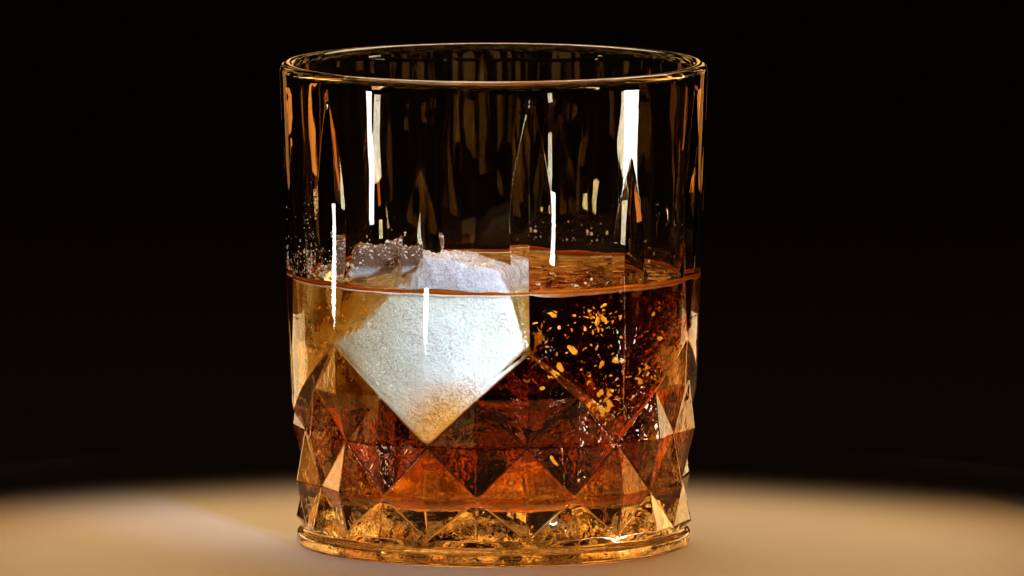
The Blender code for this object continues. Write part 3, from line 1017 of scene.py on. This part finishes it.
class DRINK_OT_level_line(bpy.types.Operator):
    """Builds the bead of drink at the level, with a painted highlight along its lower edge"""

    bl_idname = "drink.level_line"
    bl_label = "Line at the level"

    def execute(self, context):
        drink = context.scene.drink_settings
        points, faces = closed_tube(line_rings(drink))
        show(finish_piece("level_line", points, faces[:, ::-1], whisky_bead(drink)), "whisky")
        return {"FINISHED"}


def fleck_places():
    """Where bubbles and chips float in the drink just behind the front wall: groups by their place
    across and their height, and some scattered ones."""
    draw = np.random.default_rng(23)
    across, height = [], []
    for middle, level, spread, count in FLECK_GROUPS:
        across.append(draw.normal(middle, spread, count))
        height.append(draw.normal(level, spread, count))
    across, height = np.concatenate(across), np.concatenate(height)
    radius = bead_sizes(draw, len(across), FLECK_SIZES)
    away = cavity_radius(height) - FLECK_START - draw.exponential(FLECK_FADE, len(across))
    keep = (np.abs(across) < away * FLECK_SIDE) & (height < FLECK_TOP)
    azimuth = np.degrees(np.arcsin(np.clip(across / away, -1, 1)))
    return at(away, azimuth, height)[keep], radius[keep]


class DRINK_OT_flecks(bpy.types.Operator):
    """Scatters bubbles and small chips of ice in the drink"""

    bl_idname = "drink.flecks"
    bl_label = "Bubbles and chips"

    def execute(self, context):
        gold = linear(context.scene.drink_settings.flecks)
        # Painted glints: the bubbles and chips are coloured gold for the drink's light they would bend
        melting = plain_material("melting chips and bubbles, painted gold glints", gold, 0.1, 1.5, 0.4)
        points, faces = bead_mesh(*fleck_places(), 0.8, uneven=0.6, around=5, along=3)
        show(finish_piece("drink_flecks", points, faces, melting, smooth=False), "ice")
        return {"FINISHED"}


def crumb_places(drink, settings):
    """Where crumbs of frost cling to the ice above the drink: random places on its skin, kept where
    they are high enough, so the frosted piece is covered and the block only on its top."""
    draw = np.random.default_rng(41)
    places = []
    above, tries = LUMP_CRUMBS
    for form, lowest, count in ((LARGE_ICE, *BLOCK_CRUMBS), (SMALL_ICE, drink.level + above, tries)):
        directions = draw.normal(size=(count, 3))
        directions = directions / np.linalg.norm(directions, axis=1)[:, None]
        points = ice_points(directions, form, settings, 0.0, 1.0)
        places.append(points[points[:, 2] > lowest])
    places = np.concatenate(places)
    return places, bead_sizes(draw, len(places), CRUMB_SIZES)


class DRINK_OT_crumbs(bpy.types.Operator):
    """Scatters crumbs of frost on the ice above the drink"""

    bl_idname = "drink.crumbs"
    bl_label = "Crumbs of frost"

    def execute(self, context):
        drink, ice = context.scene.drink_settings, context.scene.ice_settings
        frost = plain_material("crumbs of frost, wet", linear(ice.crumbs), 0.25, 1.31, 0.2)
        points, faces = bead_mesh(*crumb_places(drink, ice), 1.0, uneven=0.4, around=6)
        show(finish_piece("frost_crumbs", points, faces, frost), "ice")
        return {"FINISHED"}


def stand_off(middle, azimuth, elevation, distance):
    """The place this far from a middle, at an azimuth in degrees and an elevation in radians."""
    away = at(distance * math.cos(elevation), azimuth, distance * math.sin(elevation))
    return (np.array(middle) + away).tolist()


def aim(made, target):
    """Turns a lamp or camera so that it looks at a point with its top upwards."""
    direction = Vector(target) - made.location
    made.rotation_euler = direction.to_track_quat("-Z", "Y").to_euler()


def place_lamp(data, power, colour, place, target):
    """Puts a lamp at its place, turned to its target. The lamp itself doesn't show."""
    data.energy = power
    data.color = linear(colour)[:3]
    made = bpy.data.objects.new(data.name, data)
    bpy.context.scene.collection.objects.link(made)
    made.location = place
    made.visible_camera = False
    aim(made, target)


def add_lamps(light):
    """Area lamps round the glass, each where the wall mirrors it, and the beam on the ice."""
    for name, azimuth, elevation, distance, size, power, colour in LAMPS:
        data = bpy.data.lights.new(name, "AREA")
        data.shape = "RECTANGLE"
        data.size, data.size_y = size
        place = stand_off(GLASS_MIDDLE, azimuth, math.radians(elevation), distance)
        place_lamp(data, power * light, colour, place, GLASS_MIDDLE)
    beam = bpy.data.lights.new("ice_beam", "SPOT")
    beam.spot_size = BEAM_SPREAD
    beam.spot_blend = 1.0
    beam.shadow_soft_size = BEAM_SIZE
    place = stand_off(GLASS_MIDDLE, BEAM_AZIMUTH, BEAM_ELEVATION, BEAM_DISTANCE)
    place_lamp(beam, BEAM_POWER * light, BEAM_COLOUR, place, BEAM_TARGET)


def board_with_painted_light_pool(pale, far):
    """Matt board: one pale colour round the glass, which darkens away from it. The pale part is a painted
    pool of light and the dark beyond it is painted shade.
    """
    made, tree = new_material("matt board, painted pool of light round the glass")
    place = add_node(tree, "TexCoord").outputs["Object"]
    moved = add_node(tree, "Mapping", {"Vector": place}, Location=(0, PAINTED_POOL_SHIFT, 0))
    away = add_node(tree, "VectorMath", {0: moved}, operation="LENGTH").outputs["Value"]
    fade = {"interpolation_type": "SMOOTHERSTEP", "From_Min": PAINTED_POOL_RADIUS, "From_Max": PAINTED_SHADE_RADIUS}
    # Painted light: pale near the glass, fading to painted shade further out
    share = add_node(tree, "MapRange", {"Value": away}, **fade)
    colour = add_node(tree, "Mix", {0: share, 6: pale, 7: far}, data_type="RGBA").outputs[2]
    shader = add_node(tree, "BsdfPrincipled", {"Base Color": colour}, Roughness=0.8, Specular_IOR_Level=0.0)
    add_node(tree, "OutputMaterial", {"Surface": shader})
    return made


def add_floor(settings):
    """A round floor just under the foot, with a painted pool of light round the glass."""
    azimuth = np.arange(96) * 360 / 96
    rings = [np.array([[0, 0, -FLOOR_DROP]])]
    rings += [at(radius, azimuth, -FLOOR_DROP) for radius in (0.1, 0.5, 3.0)]
    points, faces = ring_mesh(rings)
    board = board_with_painted_light_pool(linear(settings.floor), linear(settings.painted_shade_floor))
    finish_piece("floor", points, faces, board, smooth=False)


def add_room(scene):
    """A dark room with soft warm patches, which the glass mirrors as faint upright streaks."""
    scene.world = bpy.data.worlds.new("studio")
    scene.world.use_nodes = True
    room = scene.world.node_tree
    around = add_node(room, "TexCoord").outputs["Generated"]
    scaled = add_node(room, "Mapping", {"Vector": around}, Scale=ROOM_PATCHES)
    patches = add_node(room, "TexNoise", {"Vector": scaled}, Scale=1.0, Detail=2.0)
    lit = add_node(room, "MapRange", {"Value": patches}, From_Min=0.50, From_Max=0.60, **SMOOTH)
    wall = add_node(room, "Mix", {0: lit, 6: ROOM_DARK, 7: ROOM_LIT}, data_type="RGBA")
    room.links.new(wall.outputs[2], room.nodes["Background"].inputs[0])


def add_camera(scene, settings):
    """A long lens in front, looking a little down, with a contrasty look."""
    data = bpy.data.cameras.new("camera")
    data.lens = LENS
    camera = bpy.data.objects.new("camera", data)
    scene.collection.objects.link(camera)
    camera.location = stand_off(CAMERA_TARGET, 0.0, settings.elevation, settings.distance)
    aim(camera, CAMERA_TARGET)
    scene.camera = camera
    scene.view_settings.view_transform = "Standard"
    scene.view_settings.look = "High Contrast"


class DRINK_OT_stage(bpy.types.Operator):
    """Builds the floor, the room, the lamps and the camera"""

    bl_idname = "drink.stage"
    bl_label = "Stage"

    def execute(self, context):
        settings = context.scene.stage_settings
        add_floor(settings)
        add_room(context.scene)
        add_lamps(settings.strength)
        add_camera(context.scene, settings)
        return {"FINISHED"}


class DRINK_PT_panel(bpy.types.Panel):
    """Lists the pieces of the drink and their settings"""

    bl_idname = "DRINK_PT_panel"
    bl_label = "Whisky on the rocks"
    bl_space_type = "VIEW_3D"
    bl_region_type = "UI"
    bl_category = "Drink"

    def draw(self, context):
        for name, operator in PANEL_ROWS:
            box = self.layout.box()
            box.operator(operator.bl_idname)
            settings = getattr(context.scene, name)
            for key in settings.__annotations__:
                box.prop(settings, key)


SETTINGS = (
    ("tumbler_settings", TumblerSettings),
    ("drink_settings", DrinkSettings),
    ("ice_settings", IceSettings),
    ("stage_settings", StageSettings),
)
PANEL_ROWS = (
    ("tumbler_settings", DRINK_OT_tumbler),
    ("drink_settings", DRINK_OT_whisky),
    ("ice_settings", DRINK_OT_ice),
    ("drink_settings", DRINK_OT_droplets),
    ("drink_settings", DRINK_OT_level_line),
    ("drink_settings", DRINK_OT_flecks),
    ("ice_settings", DRINK_OT_crumbs),
    ("stage_settings", DRINK_OT_stage),
)


def register():
    for name, group in SETTINGS:
        bpy.utils.register_class(group)
        setattr(bpy.types.Scene, name, bpy.props.PointerProperty(type=group))
    for name, operator in PANEL_ROWS:
        bpy.utils.register_class(operator)
    bpy.utils.register_class(DRINK_PT_panel)


def unregister():
    bpy.utils.unregister_class(DRINK_PT_panel)
    for name, operator in reversed(PANEL_ROWS):
        bpy.utils.unregister_class(operator)
    for name, group in reversed(SETTINGS):
        delattr(bpy.types.Scene, name)
        bpy.utils.unregister_class(group)


def main():
    register()
    bpy.ops.drink.tumbler()
    bpy.ops.drink.whisky()
    bpy.ops.drink.ice()
    bpy.ops.drink.droplets()
    bpy.ops.drink.level_line()
    bpy.ops.drink.flecks()
    bpy.ops.drink.crumbs()
    bpy.ops.drink.stage()


if __name__ == "__main__":
    main()
